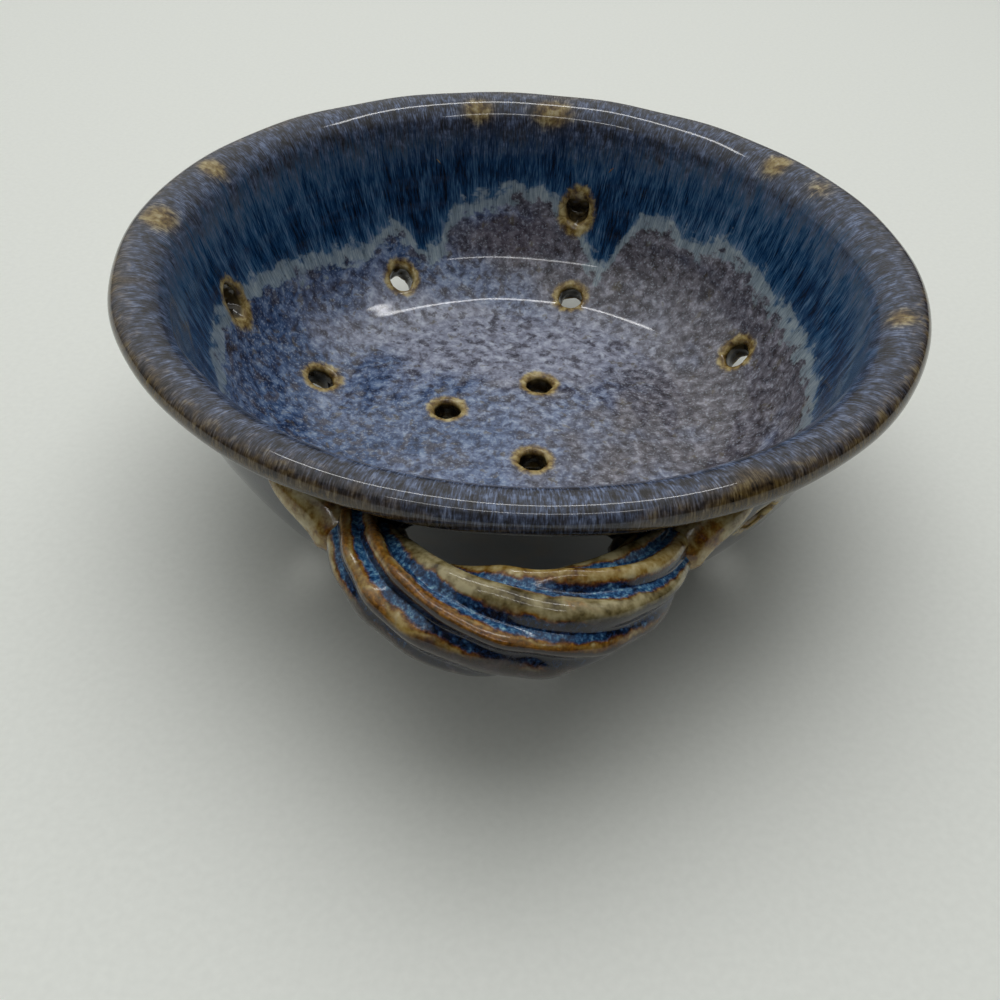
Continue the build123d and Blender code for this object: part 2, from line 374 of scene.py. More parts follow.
UNEVEN, UNEVEN_LENGTH = 0.10, 26  # mm, slow unevenness of the thrown skin
RING, RING_SPACING = 0.05, 6.5  # mm, throwing rings left by the fingertips
RING_START, RING_FADE = 20, 10  # mm from the floor's middle, and before the shoulder
HOLE_EDGE = 1.3  # mm, how softly the glaze rounds the holes' edges
RAGGED, RAGGED_LENGTH, RAGGED_NEAR = 0.12, 2.6, 5  # mm, the punch tears its edge a little
SKIN_SEED, EDGE_SEED, LUMP_SEED = 3, 5, 7


def hole_distance(points):
    """Distance from the nearest hole's bore, negative inside it."""
    nearest = np.full(len(points), FAR)
    for through, along, bridged in holes:
        offset = points - through
        deep = offset @ along
        bore = np.outer(np.clip(deep, -HOLE_REACH, HOLE_REACH), along)
        away = np.linalg.norm(offset - bore, axis=1) - HOLE / 2
        if bridged:
            away = np.maximum(away, FILM / 2 - np.abs(deep - FILM_DEPTH))
        nearest = np.minimum(nearest, away)
    return nearest


def soft_cut(skin, hole):
    """The skin with the holes cut out of it and their edges rounded."""
    blend = np.clip(HOLE_EDGE - np.abs(skin + hole), 0, None)
    return np.maximum(skin, -hole) + blend**2 / (4 * HOLE_EDGE)


def bowl_field(points):
    """Distance to the finished bowl's skin."""
    turn = np.arctan2(points[:, 1], points[:, 0])
    skin, walk = outline_distance(np.hypot(points[:, 0], points[:, 1]), points[:, 2])
    inside = np.clip((starts["shoulder"] - walk) / RING_FADE, 0, 1) * np.clip(walk / RING_START, 0, 1)
    rings = np.sin(2 * math.pi * walk / RING_SPACING + turn)
    skin = skin + UNEVEN * waves(points, UNEVEN_LENGTH, SKIN_SEED) + RING * inside * rings
    hole = hole_distance(points)
    near = hole < RAGGED_NEAR
    hole[near] += RAGGED * waves(points[near], RAGGED_LENGTH, EDGE_SEED)
    return soft_cut(skin, hole)


# %% [markdown]
# ## From field to mesh
# Blender can skin a field with Volume to Mesh, but glossy glaze shows every small step that leaves.
# So the skin is made in two moves: one point in every grid cell that the surface crosses, joined by a
# quad across each grid edge it cuts, and then each point slides along the field's slope until it lies
# on the surface exactly. The slope is also the exact normal there. The grid has millions of points,
# so it reads the outline from a table of distances by reach and height.

# %% Rough field for the grid
LOOKUP_STEP, LOOKUP_REACH = 0.15, 126  # mm; the grid's corners lie 123 mm from the axis
LOOKUP_LOW, LOOKUP_HIGH = -3, 65
CUT_NEAR = 4  # mm from the skin, and the holes matter only there
reaches = np.arange(0, LOOKUP_REACH, LOOKUP_STEP)
heights = np.arange(LOOKUP_LOW, LOOKUP_HIGH, LOOKUP_STEP)
distances = outline_distance(*np.meshgrid(reaches, heights, indexing="ij"))[0]
print(f"table of {distances.size} distances")


def rough_field(points):
    """The bowl without its unevenness, with the outline read from the table."""
    row = np.rint(np.hypot(points[:, 0], points[:, 1]) / LOOKUP_STEP).astype(int)
    column = np.rint((points[:, 2] - LOOKUP_LOW) / LOOKUP_STEP).astype(int)
    skin = distances[row, column]
    near = np.abs(skin) < CUT_NEAR
    skin[near] = soft_cut(skin[near], hole_distance(points[near]))
    return skin


# %% Skinning a field
BATCHES = 24  # the grid is measured in parts, to spare memory


def skin_field(field, low, high, step):
    """Points and quads of the surface where a field is zero inside a box."""
    axes = [np.arange(a, b + step, step) for a, b in zip(low, high)]
    shape = [len(a) for a in axes]
    grid = np.stack(np.meshgrid(*axes, indexing="ij"), -1).reshape(-1, 3)
    inside = (np.concatenate([field(part) for part in np.array_split(grid, BATCHES)]) < 0).reshape(shape)
    ends = (slice(None, -1), slice(1, None))
    corners = [inside[i, j, k].astype(int) for i in ends for j in ends for k in ends]
    crossed = (sum(corners) > 0) & (sum(corners) < 8)
    number = np.full(crossed.shape, -1)
    number[crossed] = np.arange(crossed.sum())
    points = np.argwhere(crossed) * step + np.array(low) + step / 2
    quads = []
    for axis in range(3):
        first, second = [slice(1, -1)] * 3, [slice(1, -1)] * 3
        first[axis], second[axis] = ends
        enters = inside[tuple(second)].astype(int) - inside[tuple(first)].astype(int)
        at = np.argwhere(enters != 0) + 1
        at[:, axis] -= 1
        side, up = ((1, 2), (2, 0), (0, 1))[axis]
        ring = []
        for back, down in ((0, 0), (1, 0), (1, 1), (0, 1)):
            cell = at.copy()
            cell[:, side] -= back
            cell[:, up] -= down
            ring.append(number[tuple(cell.T)])
        ring = np.stack(ring, 1)
        leaving = enters[enters != 0] < 0
        quads.append(np.where(leaving[:, None], ring, ring[:, ::-1]))
    return points, np.concatenate(quads)


def slope(field, points, step=0.04):
    """The field's slope at points, by small differences."""
    moves = np.eye(3) * step
    return np.stack([field(points + move) - field(points - move) for move in moves], 1) / (2 * step)


def settle(field, points, rounds=3):
    """Slide points on to the field's surface and give the normals there."""
    for _ in range(rounds):
        steep = slope(field, points)
        points = points - steep * (field(points) / (steep**2).sum(1))[:, None]
    steep = slope(field, points)
    return points, steep / np.linalg.norm(steep, axis=1)[:, None]


# %% The bowl's mesh
CELL = 0.7  # mm
MARGIN, MARGIN_UP = 2.0, 1.5  # mm of empty grid beside the bowl, and above and below it


def make_piece(name, points, faces, normals=None, **attributes):
    """A shaded mesh object from points in millimetres, with named values on its points."""
    mesh = bpy.data.meshes.new(name)
    mesh.from_pydata((points * MM).tolist(), [], faces if isinstance(faces, list) else faces.tolist())
    for key, values in attributes.items():
        kind = "FLOAT" if values.ndim == 1 else "FLOAT_VECTOR"
        layer = mesh.attributes.new(key, kind, "POINT")
        layer.data.foreach_set("value" if kind == "FLOAT" else "vector", values.astype(np.float32).ravel())
    mesh.polygons.foreach_set("use_smooth", np.ones(len(mesh.polygons), bool))
    if normals is not None:
        mesh.normals_split_custom_set_from_vertices(normals.tolist())
    piece = bpy.data.objects.new(name, mesh)
    scene.collection.objects.link(piece)
    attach(piece, "root")
    return piece


beside = RIM + MARGIN
low, high = (-beside, -beside, -MARGIN_UP), (beside, beside, HEIGHT + MARGIN_UP)
points, quads = skin_field(rough_field, low, high, CELL)
points, normals = settle(bowl_field, points)
points[:, 2] = np.maximum(points[:, 2], 0)  # the foot ring was rubbed flat
print(f"bowl skin: {len(points)} points, {len(quads)} quads")

# %% [markdown]
# ## Where the glaze ran
# Floating blue is dipped on thick. In the kiln it melts and creeps downhill: it thins to brown over
# every edge, runs down the wall in fine hairs, and stops in a pale wavy drip line where the wall turns
# into the floor. Those places belong to the pot, not to the shader, so they are worked out once per
# point and kept on the mesh as named values, most of them distances in millimetres.
# The wall behind the handles and the back of the floor are marked for painted shade and light.

# %% The drip line
DRIP_LINE = (  # degrees round the axis, height of the drip line
    (-163, 34), (-171, 36), (179, 37), (167, 36), (161, 35), (149, 32), (140, 31), (131, 29), (127, 31),
    (122, 33), (119, 31), (117, 26), (115, 24), (110, 27), (108, 32), (104, 36), (97, 37), (89, 40),
    (85, 39), (80, 36), (76, 32), (71, 24), (68, 22), (66, 24), (64, 33), (61, 37), (55, 38), (50, 36),
    (44, 36), (40, 39), (35, 39), (29, 37), (22, 36), (14, 35), (-9, 35), (-40, 33), (-90, 34), (-135, 33),
)
SOFTEN = (0.1, 0.2, 0.4, 0.2, 0.1)  # glass rounds the line's corners
NO_DRIP = 30  # mm over the line counts as far away, and so does all of the outside

x, y, z = points.T
reach = np.hypot(x, y)
skin, walk = outline_distance(reach, z)
turn = np.degrees(np.arctan2(y, x))
angles, levels = np.array(DRIP_LINE, float).T
every = np.arange(-180, 180)
line = np.interp(every, angles, levels, period=360)
line = np.convolve(np.pad(line, 2, "wrap"), SOFTEN, "valid")
line = np.interp(turn, every, line, period=360)
drip = np.where(walk < starts["lip"], z - line, NO_DRIP)
print(f"drip line between {line.min():.0f} and {line.max():.0f} mm up")

# %% Thin, thick and stained places
BARE_PATCHES = (  # degrees, half width in degrees, strength: where the lip's glaze ran thin
    (178, 4, 1.0), (159, 3, 0.9), (100, 4, 0.9), (85, 5, 1.0), (37, 3, 1.0), (26, 4, 0.6), (-16, 3, 0.8),
)
BARE_MIDDLE, BARE_WIDTH = 8, 4.5  # mm from the shoulder outwards
FRONT, BACK = -90, 90  # degrees
STAIN, STAIN_WIDTH, STAIN_HEIGHT, STAIN_TALL = 92, 13, 27, 6  # a dark patch on the heel at the back


def gap(direction):
    """How far round the axis the points are from a direction, in degrees."""
    return np.abs((turn - direction + 180) % 360 - 180)


def hump(offset, width, power=2):
    """1 in the middle, fading smoothly over a width; a higher power makes it flatter and steeper."""
    return np.exp(-(np.abs(offset / width) ** power))


lip = walk - starts["shoulder"] + 3.5 * hump(gap(BACK), 45)  # at the back the lip's coat hangs lower
edge = walk - starts["lip"] - 7 * hump(gap(FRONT + 2), 13)  # and in front the brown starts further out
outer = walk - starts["under_lip"]
bare = np.max([strength * hump(gap(angle), width) for angle, width, strength in BARE_PATCHES], 0)
bare *= hump(lip - BARE_MIDDLE, BARE_WIDTH)
stain = hump(gap(STAIN), STAIN_WIDTH) * hump(z - STAIN_HEIGHT, STAIN_TALL) * (reach > FOOT + 3)
# painted shade: the outer wall behind each handle is marked to be painted dark
wall_painted_shade = hump(np.minimum(gap(FRONT), gap(BACK)), 21, 4)  # behind the handles
wall_painted_shade *= np.clip((z - 22) / 8, 0, 1) * (outer > 2)
warm = 0.0032 * (0.9 * x + 0.35 * y)  # the floor fired from blue on the left to taupe on the right
# painted light: the back of the floor is marked to be painted paler
back_floor_painted_light = hump(x + 4, 42) * hump(y - 32, 16) * (z < 30)
fringe = 1 - 0.6 * hump(gap(BACK), 40)  # at the back fewer hairs hang from the lip
run = 0.10 * np.exp(-np.clip(drip, 0, None) / 3.5) + 0.20 * fringe * np.exp(-np.clip(-lip, 0, None) / 8)
print(f"{len(BARE_PATCHES)} bare patches on the lip")

# %% The bowl with its zones
FOOT_WIPED = 2.2  # mm up from the table that the glaze was wiped off

zones = {
    "flow": np.stack([RIM * np.cos(np.radians(turn)), RIM * np.sin(np.radians(turn)), walk], 1) * MM,
    "drip": drip,
    "lip": lip,
    "edge": edge,
    "outer": outer,
    "bare": bare,
    "stain": stain,
    "wall_painted_shade": wall_painted_shade,
    "warm": warm,
    "back_floor_painted_light": back_floor_painted_light,
    "run": run,
    "hole": hole_distance(points),
    "bore": -skin,
    "foot": np.clip(FOOT_WIPED - z, -1, 2),
}
bowl = make_piece("thrown_bowl", points, quads, normals, **zones)
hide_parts("bowl_body")
print(f"{bowl.name} carries {len(zones)} zones")

# %% [markdown]
# ## Floating blue glaze
# Floating blue is a glossy stoneware glaze with iron and rutile in it. Thick, it parts into a deep
# blue glass with pale milky hairs; thin, it breaks to amber and brown. A painter would lay coat over
# coat, and the tree does the same: patterns first, then the tones they give, then the coats in order,
# each with the place where it starts and a pattern that frays its border, as creeping glass does.

# %% Patterns in the glaze: width and length in millimetres, and fineness
glaze, tree, output = new_material("floating_blue_stoneware_glaze")
place = node(tree, "TexCoord").outputs["Object"]
flowing = node(tree, "Attribute", {"attribute_name": "flow"}).outputs["Vector"]
value = {name: node(tree, "Attribute", {"attribute_name": name}).outputs["Fac"] for name in zones}
patterns = {
    "hair": (flowing, 0.36, 3.6, 4),  # the real hairs are finer still
    "nap": (flowing, 0.36, 2.2, 4),
    "streak": (flowing, 3.0, 13.0, 3),
    "mottle": (place, 2.4, 2.4, 4),
    "cloud": (place, 17.0, 17.0, 2),
    "speck": (place, 3.4, 3.4, 3),
    "fleck": (place, 0.6, 0.6, 2),
}
noise = {}
for name, (where, wide, long, detail) in patterns.items():
    scale = {0: where, 1: (1 / (wide * MM), 1 / (wide * MM), 1 / (long * MM))}
    scaled = node(tree, "VectorMath", {"operation": "MULTIPLY"}, scale).outputs[0]
    grain = {"Vector": scaled, "Scale": 1.0, "Detail": detail, "Roughness": 0.6, "Distortion": 0.3}
    noise[name] = node(tree, "TexNoise", inputs=grain).outputs["Fac"]
blends = {
    "thick": ("hair", 0.55, "streak", 0.45, value["run"]),
    "comb": ("hair", 0.6, "streak", 0.4, 0.0),
    "rub": ("nap", 0.55, "mottle", 0.45, 0.0),
}
for name, (first, share, second, other_share, more) in blends.items():
    half = {0: noise[first], 1: share, 2: more}
    half = node(tree, "Math", {"operation": "MULTIPLY_ADD"}, half).outputs[0]
    whole = {0: noise[second], 1: other_share, 2: half}
    noise[name] = node(tree, "Math", {"operation": "MULTIPLY_ADD"}, whole).outputs[0]
print(f"{len(noise)} patterns in the glaze")

# %% Tones: the pattern that each follows, from its thin spots to its milky ones
tones = {
    "lavender": ("mottle", ((0.34, "#3F4458"), (0.45, "#5F6A88"), (0.55, "#808EAD"), (0.68, "#A9B5CC"))),
    "taupe": ("mottle", ((0.34, "#3E393C"), (0.45, "#5A565D"), (0.56, "#75727B"), (0.68, "#9C9AA6"))),
    "blue": ("mottle", ((0.34, "#232D46"), (0.45, "#374A6E"), (0.55, "#526990"), (0.68, "#8294B0"))),
    # the paler colour painted as light on the back of the floor
    "painted_light_lilac": ("mottle", ((0.32, "#6E6E7B"), (0.46, "#8D90A2"), (0.57, "#A6AABD"), (0.70, "#C4CAD8"))),
    "plum": ("mottle", ((0.34, "#433C44"), (0.50, "#625C66"), (0.68, "#837F89"))),
    "dusk": ("mottle", ((0.34, "#37343D"), (0.60, "#5A5760"))),
    "earth": ("mottle", ((0.34, "#4B4236"), (0.60, "#6B6355"))),
    "frost": ("mottle", ((0.34, "#9FA9BC"), (0.60, "#BFC8D4"))),
    "milk": ("comb", ((0.38, "#687984"), (0.50, "#90A0AA"), (0.62, "#B4C0C4"))),
    "deep_blue": (
        "thick",
        ((0.36, "#040912"), (0.46, "#081A32"), (0.54, "#133A62"), (0.63, "#426688"), (0.76, "#8390A6")),
    ),
    "lip_grey": ("rub", ((0.38, "#262426"), (0.46, "#393A42"), (0.53, "#4C546A"), (0.62, "#7886A5"))),
    "olive": ("rub", ((0.38, "#1C1408"), (0.46, "#413114"), (0.55, "#655126"), (0.66, "#8C7B4A"))),
    "dark_brown": ("mottle", ((0.32, "#0A0805"), (0.50, "#20180F"), (0.70, "#46361C"))),
    "slate": ("comb", ((0.36, "#0C0D11"), (0.47, "#1A1C25"), (0.56, "#2F3340"), (0.68, "#555B6A"))),
    "amber": ("mottle", ((0.34, "#543C14"), (0.46, "#876C32"), (0.56, "#AE9758"), (0.70, "#D0BF8C"))),
    # the painted shade behind the handles and deep in the bores
    "painted_shade_dark": ("speck", ((0.36, "#04080F"), (0.50, "#0F1620"), (0.62, "#261F18"))),
    "clay": ("mottle", ((0.35, "#7A6048"), (0.50, "#9A7E60"), (0.68, "#B49A7C"))),
}
print(f"{len(tones)} tones")

# %% Coats: tone, where it lies, the pattern that frays it and how far, where it starts, is full, how dense
coats = (
    ("blue", "warm", "cloud", 0.5, 0.02, -0.16, 1.0),
    ("taupe", "warm", "cloud", 0.5, -0.04, 0.14, 1.0),
    # painted light: a paler patch on the back of the floor
    ("painted_light_lilac", "back_floor_painted_light", "cloud", 0.8, 0.1, 0.6, 0.95),
    ("plum", "stain", "speck", 0.8, 0.25, 0.75, 0.9),
    ("dusk", None, "speck", -1.0, 0.02, 0.14, 0.8),
    ("earth", None, "speck", 1.0, 0.10, 0.20, 0.7),
    ("frost", None, "fleck", 1.0, 0.06, 0.16, 0.4),
    ("milk", "drip", "speck", 14.0, -4.4, -2.4, 0.85),
    ("deep_blue", "drip", "speck", 11.0, -0.8, 1.4, 1.0),
    ("lip_grey", "lip", "comb", 40.0, -6.0, 6.0, 1.0),
    ("olive", "edge", "cloud", 60.0, 4.0, 14.0, 0.75),
    ("olive", "edge", "mottle", 14.0, -2.0, 5.0, 0.85),
    ("dark_brown", "outer", "mottle", 7.0, -6.0, -1.5, 1.0),
    ("slate", "outer", "hair", 6.0, 5.0, 12.0, 1.0),
    # painted shade: near black on the wall behind the handles
    ("painted_shade_dark", "wall_painted_shade", "mottle", 0.6, 0.2, 0.6, 1.0),
    ("amber", "bare", "rub", 1.8, 0.25, 0.85, 0.75),
    ("amber", "hole", "mottle", -3.0, 2.7, 1.2, 0.9),
    # in the bores: dark brown, and painted shade deeper in
    ("dark_brown", "bore", "mottle", 1.2, 0.5, 1.4, 0.9),
    ("painted_shade_dark", "bore", "mottle", 1.2, 1.6, 3.6, 1.0),
    ("clay", "foot", "mottle", 0.5, 0.0, 0.4, 1.0),
)


def lay_coats(tree, noise, value, tones, base, coats):
    """Coat over coat on a base tone: the colour that they give and the last coat's share."""
    tone = {}
    for name, (pattern, stops) in tones.items():
        tone[name] = node(tree, "ValToRGB", inputs={"Fac": noise[pattern]}, stops=stops).outputs["Color"]
    colour = tone[base]
    for name, where, pattern, fray, start, full, dense in coats:
        frayed = {0: noise[pattern], 1: fray, 2: value[where] if where else 0.0}
        frayed = node(tree, "Math", {"operation": "MULTIPLY_ADD"}, frayed).outputs[0]
        middle = fray / 2  # the patterns swing about a half
        border = {"Value": frayed, "From Min": start + middle, "From Max": full + middle, "To Max": dense}
        share = node(tree, "MapRange", {"interpolation_type": "SMOOTHSTEP"}, border).outputs["Result"]
        colour = node(tree, "Mix", {"data_type": "RGBA"}, {0: share, 6: colour, 7: tone[name]}).outputs[2]
    return colour, share


colour, wiped = lay_coats(tree, noise, value, tones, "lavender", coats)
print(f"{glaze.name}: {len(coats)} coats, {len(tree.nodes)} nodes")

# %% Shine: fired glass, dimpled like orange peel, and dull bare clay where the foot was wiped
GLASS_IOR, GLASS_ROUGH, CLAY_ROUGH = 1.52, 0.08, 0.75
DIMPLE = 0.2 * MM

rough = {"Value": wiped, "To Min": GLASS_ROUGH, "To Max": CLAY_ROUGH}
shine = node(tree, "MapRange", inputs=rough).outputs["Result"]
dimples = {"Height": noise["mottle"], "Strength": 0.05, "Distance": DIMPLE}
dimpled = node(tree, "Bump", inputs=dimples).outputs["Normal"]
finish = {"Base Color": colour, "Roughness": shine, "IOR": GLASS_IOR, "Normal": dimpled}
glass = node(tree, "BsdfPrincipled", inputs=finish)
tree.links.new(glass.outputs["BSDF"], output.inputs["Surface"])
bowl.data.materials.append(glaze)
print(f"{glaze.name} on {bowl.name}")

# %% [markdown]
# ## Twisted handles
# Each handle is a short rope of clay: coils laid side by side and twisted together, arched out from
# the wall under the lip. A curve with a bevel could only give a plain tube. Here each coil is its own
# sector of the rope, bulging in the middle and low at its sides, swept along the arch while it turns.
# Hand-rolled coils aren't all alike, so the valleys between them wander a little.

# %% The rope's arch
SPAN = 54.0  # mm between the ends
LEAN = 5.4  # how much narrower the arch is at its crown
ROOT = 68.47  # how far from the bowl's axis the ends are, inside the wall
CROWN = 93.82  # how far out the middle is
END_HEIGHT, CROWN_HEIGHT = 42.7, 45.0
ROPE, ROPE_END, CORE = 8.6, 5.0, 1.2  # radius over the ridges at the middle, at the ends, and of the core
COILS = 7
GROOVE = 0.23  # depth of the valleys, over the rope's radius
TWIST, TWIST_MIDDLE = 210, -30  # degrees from end to end, and where the first coil is halfway
WANDER, WANDER_WAVES, WANDER_STEP = 7.0, 5.0, 2.4  # degrees that a valley strays, each in its own way
SWELL, SWELL_WAVES, SWELL_STEP = 0.07, 6.0, 2.1  # how much thicker a coil gets along its way
LUMP, LUMPY = 9.0, 0.3  # mm, size and height of the lumps that fingers left
BROAD = 0.75  # below 1 the ridges are broad and the valleys narrow
SMOOTHED = 0.55  # share of the valleys' depth that a thumb smoothed away underneath
CUBIC_MIDDLE = 0.75  # a cubic curve's middle lies three quarters of the way to its handles

pull = (CROWN - ROOT) / CUBIC_MIDDLE
lift = (CROWN_HEIGHT - END_HEIGHT) / CUBIC_MIDDLE
arch = np.array([
    (-SPAN / 2, -ROOT, END_HEIGHT),
    (LEAN - SPAN / 2, -ROOT - pull, END_HEIGHT + lift),
    (SPAN / 2 - LEAN, -ROOT - pull, END_HEIGHT + lift),
    (SPAN / 2, -ROOT, END_HEIGHT),
])
t = np.linspace(0, 1, 400)[:, None]
curve = (1 - t) ** 3 * arch[0] + 3 * (1 - t) * t * ((1 - t) * arch[1] + t * arch[2]) + t**3 * arch[3]
travel = np.concatenate([[0], np.cumsum(np.linalg.norm(np.diff(curve, axis=0), axis=1))])
heading = np.gradient(curve, travel, axis=0)
print(f"rope {travel[-1]:.1f} mm long")


def along_arch(share):
    """Points and directions along the arch, with share running evenly from 0 to 1 over its length."""
    at = share * travel[-1]
    middle = np.stack([np.interp(at, travel, curve[:, i]) for i in range(3)], -1)
    ahead = np.stack([np.interp(at, travel, heading[:, i]) for i in range(3)], -1)
    return middle, ahead / np.linalg.norm(ahead, axis=-1, keepdims=True)


# %% The rope's outside
def rope_skin(share, bearing, number):
    """Points of one coil's outside: bearing runs from -1 to 1 between its two valleys."""
    middle, ahead = along_arch(share)
    out = np.cross(ahead, [0, 0, 1.0])
    out /= np.linalg.norm(out, axis=-1, keepdims=True)
    down = np.cross(ahead, out)
    full = np.sin(math.pi * share)
    radius = ROPE_END + (ROPE - ROPE_END) * full
    valleys = number, (number + 1) % COILS
    before, after = [WANDER * np.sin(WANDER_WAVES * share + WANDER_STEP * valley) for valley in valleys]
    wander = before * (1 - bearing) / 2 + after * (1 + bearing) / 2
    turn = TWIST_MIDDLE + TWIST * (share - 0.5) + 360 / COILS * (number + bearing / 2) + wander
    turn = np.radians(turn)[..., None]
    crest = ((1 + np.cos(math.pi * bearing)) / 2) ** BROAD
    swell = SWELL * np.sin(SWELL_WAVES * share + SWELL_STEP * number) * crest
    underside = np.clip((np.sin(turn[..., 0]) - 0.2) / 0.6, 0, 1)
    depth = GROOVE * np.clip(2.5 * full, 0.15, 1) * (1 - SMOOTHED * underside)  # shallow at the ends
    radius = radius * (1 - depth * (1 - crest) + swell * full)
    spoke = np.cos(turn) * out + np.sin(turn) * down
    smooth = middle + radius[..., None] * spoke
    lumps = waves(smooth.reshape(-1, 3), LUMP, LUMP_SEED).reshape(radius.shape)
    return middle + (radius + LUMPY * full * lumps)[..., None] * spoke, middle


# %% One coil
STEPS, FACETS = 110, 18  # along the rope, and across a coil's outside
IRON = (1.0, 0.8, 0.5, 0.3, 0.3, 0.3, 0.45)  # how rusty each coil's ridge fired
DULL = (0.3, 0.3, 0.5, 0.6, 0.8, 0.2, 1.0)  # and how dull and olive


def coil_mesh(number):
    """One coil as a closed sector: its rounded outside, two flat sides and a narrow core edge."""
    spread = np.linspace(0, 1, STEPS), np.linspace(-1, 1, FACETS + 1)
    share, bearing = np.meshgrid(*spread, indexing="ij")
    skin, middle = rope_skin(share, bearing, number)
    step = 1e-3
    right = rope_skin(share, bearing + step, number)[0] - rope_skin(share, bearing - step, number)[0]
    ahead = rope_skin(np.clip(share + step, 0, 1), bearing, number)[0]
    normals = np.cross(right, ahead - rope_skin(np.clip(share - step, 0, 1), bearing, number)[0])
    normals /= np.linalg.norm(normals, axis=-1, keepdims=True)
    spoke = skin - middle
    core = middle + CORE * spoke / np.linalg.norm(spoke, axis=-1, keepdims=True)
    ring = np.concatenate([skin, core[:, -1:], core[:, :1]], 1)
    width = ring.shape[1]
    index = np.arange(STEPS * width).reshape(STEPS, width)
    beside = np.roll(index, -1, 1)
    quads = np.stack([index[:-1], beside[:-1], beside[1:], index[1:]], -1).reshape(-1, 4).tolist()
    quads += [index[0][::-1].tolist(), index[-1].tolist()]
    crest = (1 + np.cos(math.pi * bearing)) / 2
    spots = {"crest": crest, "iron": crest * IRON[number], "dull": crest * DULL[number]}
    # which way the skin faces, for painted light on top and painted shade underneath
    spots["low"] = -normals[..., 2]
    spots = {key: np.pad(values, ((0, 0), (0, 2))).ravel() for key, values in spots.items()}
    return ring.reshape(-1, 3), quads, spots, normals, index


def shade_coil(piece, normals, index):
    """Give the coil's outside the whole rope's normals, so that the valleys run on without a seam."""
    outer = {int(i): tuple(normals[place]) for place, i in np.ndenumerate(index[:, : FACETS + 1])}
    split = []
    for face in piece.data.polygons:
        outside = len(face.vertices) == 4 and all(v in outer for v in face.vertices)
        split += [outer[v] if outside else tuple(face.normal) for v in face.vertices]
    piece.data.normals_split_custom_set(split)


# %% Both handles' coils
HANDLES = (("front", np.ones(3)), ("back", np.array([-1, -1, 1])))  # the back one is turned half round
coils = []
for side, turned in HANDLES:
    for number in range(COILS):
        ring, quads, spots, normals, index = coil_mesh(number)
        piece = make_piece(f"{side}_twisted_coil_{number + 1}", ring * turned, quads, **spots)
        shade_coil(piece, normals * turned, index)
        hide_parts(f"{side}_handle_coil_{number + 1}")
        coils.append(piece)
print(f"{len(coils)} coils")

# %% [markdown]
# ## Smeared ends
# The rope's ends are wads of clay pressed on to the wall and smeared along it, a short way inwards and
# a long way outwards and up under the lip. Each is built in the wall's own directions, along it and up
# it, with a height over the wall that feathers out at the edge and swells into the rope.

# %% End pads
PAD_IN = np.array([-10.0, -1.5])  # mm along the wall and up it, from the rope's end to the inner tip
PAD_OUT = np.array([17.5, 5.0])  # and to the outer tip
PAD_WIDTH, PAD_SUNK, PAD_TIP = 5.0, 1.0, 0.02  # half width, depth in the wall, and roundness of the tips
PAD_SWELL = 0.85  # height over half width
COLLAR, COLLAR_FADE = 2.5, 2.2  # mm that the wad climbs the rope, and over which that fades
PAD_STEPS, PAD_FACETS = 64, 40
NEAR_END = np.linspace(0, 0.25, 60)  # the quarter of the rope that a pad can touch


def wall_point(across, height, side):
    """Points and normals on the outer wall: distance along it from the rope's end, and height."""
    reach = wall_reach(height, WALL_OUTSIDE)
    turn = math.asin(SPAN / 2 / wall_reach(END_HEIGHT, WALL_OUTSIDE)) + across / reach
    spoke = np.stack([side * np.sin(turn), -np.cos(turn), np.zeros_like(turn)], -1)
    up = np.array([0, 0, 1.0])
    out = (reach - WALL_CENTRE[0])[..., None] * spoke + (height - WALL_CENTRE[1])[..., None] * up
    return spoke * reach[..., None] + up * height[..., None], out / WALL_OUTSIDE


def pad_mesh(side):
    """A closed wad: round over the wall, flat under it, pointed at both tips."""
    lengthwise = (PAD_OUT - PAD_IN) / np.linalg.norm(PAD_OUT - PAD_IN)
    crosswise = np.array([-lengthwise[1], lengthwise[0]])
    spread = np.linspace(0, 1, PAD_STEPS), np.linspace(0, 2 * math.pi, PAD_FACETS, endpoint=False)
    share, angle = np.meshgrid(*spread, indexing="ij")
    wide = PAD_WIDTH * np.clip(1 - (2 * share - 1) ** 2, 0, None) ** 0.9 + PAD_TIP
    spot = PAD_IN + share[..., None] * (PAD_OUT - PAD_IN) + (wide * np.cos(angle))[..., None] * crosswise
    ground, normal = wall_point(spot[..., 0], END_HEIGHT + spot[..., 1], side)
    over_wall = np.clip(np.sin(angle), 0, None)
    swell = PAD_SWELL * wide * over_wall**1.5
    middle, _ = along_arch(NEAR_END if side < 0 else 0.75 + NEAR_END)
    lifted = ground + COLLAR * normal
    away = np.min(np.linalg.norm(lifted[..., None, :] - middle, axis=-1), -1)
    climb = COLLAR * np.exp(-np.clip(away - ROPE_END, 0, None) / COLLAR_FADE)
    climb *= np.minimum(1, 1.6 * over_wall)
    raised = np.where(np.sin(angle) > 0, swell + climb, PAD_SUNK * np.sin(angle))
    ring = ground + normal * raised[..., None]
    index = np.arange(PAD_STEPS * PAD_FACETS).reshape(PAD_STEPS, PAD_FACETS)
    beside = np.roll(index, -1, 1)
    quads = np.stack([index[:-1], index[1:], beside[1:], beside[:-1]], -1).reshape(-1, 4).tolist()
    faces = quads + [index[0].tolist(), index[-1][::-1].tolist()]
    if side > 0:
        faces = [face[::-1] for face in faces]
    even = np.ones_like(share)  # a wad has no valleys, and fires like the side of a ridge
    # the wads count as facing up, so they take the painted light of the tops
    spots = {"crest": 0.45 + 0.3 * over_wall, "iron": 0.35 * even, "dull": 0.42 * even, "low": -even}
    return ring.reshape(-1, 3), faces, {key: values.ravel() for key, values in spots.items()}


# %% Both handles' ends
pads = []
for handle, turned in HANDLES:
    for end, side in (("left", -1), ("right", 1)):
        ring, faces, spots = pad_mesh(side)
        piece = make_piece(f"{handle}_smeared_end_{end}", ring * turned, faces, **spots)
        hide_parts(f"{handle}_handle_pad_{end}")
        pads.append(piece)
print(f"{len(pads)} smeared ends")
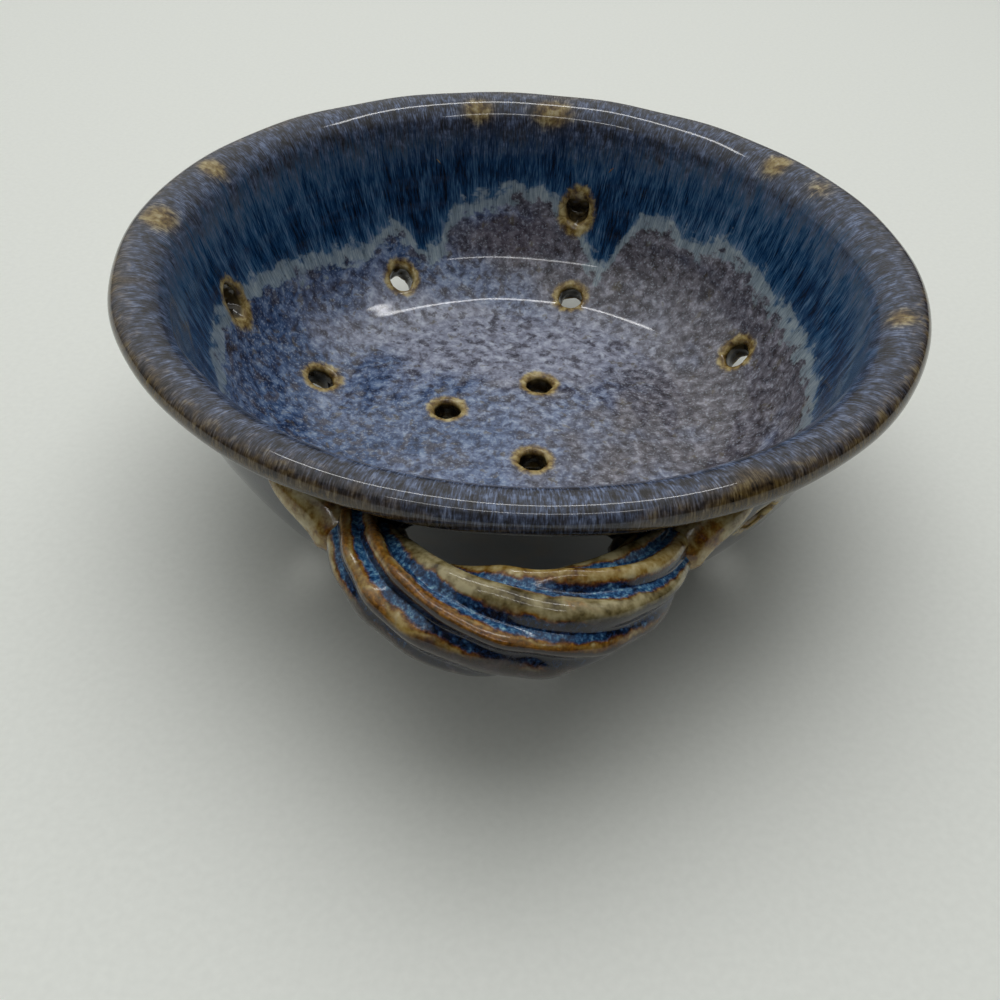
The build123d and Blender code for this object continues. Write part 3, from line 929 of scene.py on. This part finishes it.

# %% [markdown]
# ## Glaze on the handles
# It is the same glaze, but the rope's ridges and valleys sort it: it runs off the ridges until they
# show honey and rust, and it pools blue with pale flecks in the valleys. The pools are painted
# brighter where the rope faces up, as painted light, and its underside is painted a dark slate, as
# painted shade. Each coil carries how near to its crest a point is.

# %% Floating blue on ridges and valleys
rope_glaze, tree, output = new_material("floating_blue_glaze_on_ridges")
place = node(tree, "TexCoord").outputs["Object"]
value = {name: node(tree, "Attribute", {"attribute_name": name}).outputs["Fac"] for name in spots}
noise = {}
for name, size, detail in (("fleck", 0.8, 4), ("rust", 3.0, 3), ("blotch", 6.0, 2)):  # mm
    grain = {"Vector": place, "Scale": 1 / (size * MM), "Detail": detail, "Roughness": 0.62}
    noise[name] = node(tree, "TexNoise", inputs=grain).outputs["Fac"]
tones = {
    "pool": ("fleck", ((0.32, "#03070F"), (0.46, "#0A172E"), (0.57, "#193560"), (0.72, "#5580A4"))),
    # painted light: a brighter blue for the pools where the rope faces up
    "painted_light_pool": ("fleck", ((0.32, "#0E2440"), (0.46, "#214A78"), (0.57, "#4878A0"), (0.72, "#9CC4CC"))),
    "rusty": ("fleck", ((0.35, "#331A04"), (0.52, "#704210"), (0.70, "#A67226"))),
    "honey": ("rust", ((0.34, "#583812"), (0.46, "#907438"), (0.58, "#B09B66"), (0.75, "#D2C69E"))),
    "olive": ("rust", ((0.34, "#40381E"), (0.48, "#7C7250"), (0.62, "#A49A76"))),
    # slate is the painted shade on the rope's underside
    "slate": ("rust", ((0.34, "#040306"), (0.50, "#121018"), (0.66, "#2C2833"))),
}
print(f"{len(noise)} patterns and {len(tones)} tones on the ridges")

# %% Coats on the handles
ROPE_ROUGH = 0.09

coats = (
    # painted light: brighter pools where the rope faces up
    ("painted_light_pool", "low", "blotch", 1.2, -0.55, -0.95, 0.85),
    ("rusty", "crest", "rust", 1.0, 0.25, 0.50, 1.0),
    ("honey", "crest", "rust", 1.0, 0.43, 0.76, 1.0),
    ("olive", "dull", "blotch", 1.0, 0.34, 0.66, 0.9),
    ("rusty", "iron", "blotch", 1.8, 0.55, 0.90, 0.85),
    # painted shade: dark slate where the rope faces down
    ("slate", "low", "blotch", 1.2, -0.65, -0.10, 0.9),
)
colour, _ = lay_coats(tree, noise, value, tones, "pool", coats)
dimples = {"Height": noise["fleck"], "Strength": 0.12, "Distance": DIMPLE}
dimpled = node(tree, "Bump", inputs=dimples).outputs["Normal"]
finish = {"Base Color": colour, "Roughness": ROPE_ROUGH, "IOR": GLASS_IOR, "Normal": dimpled}
glass = node(tree, "BsdfPrincipled", inputs=finish)
tree.links.new(glass.outputs["BSDF"], output.inputs["Surface"])
for piece in coils + pads:
    piece.data.materials.append(rope_glaze)
print(f"{rope_glaze.name}: {len(coats)} coats, {len(tree.nodes)} nodes")
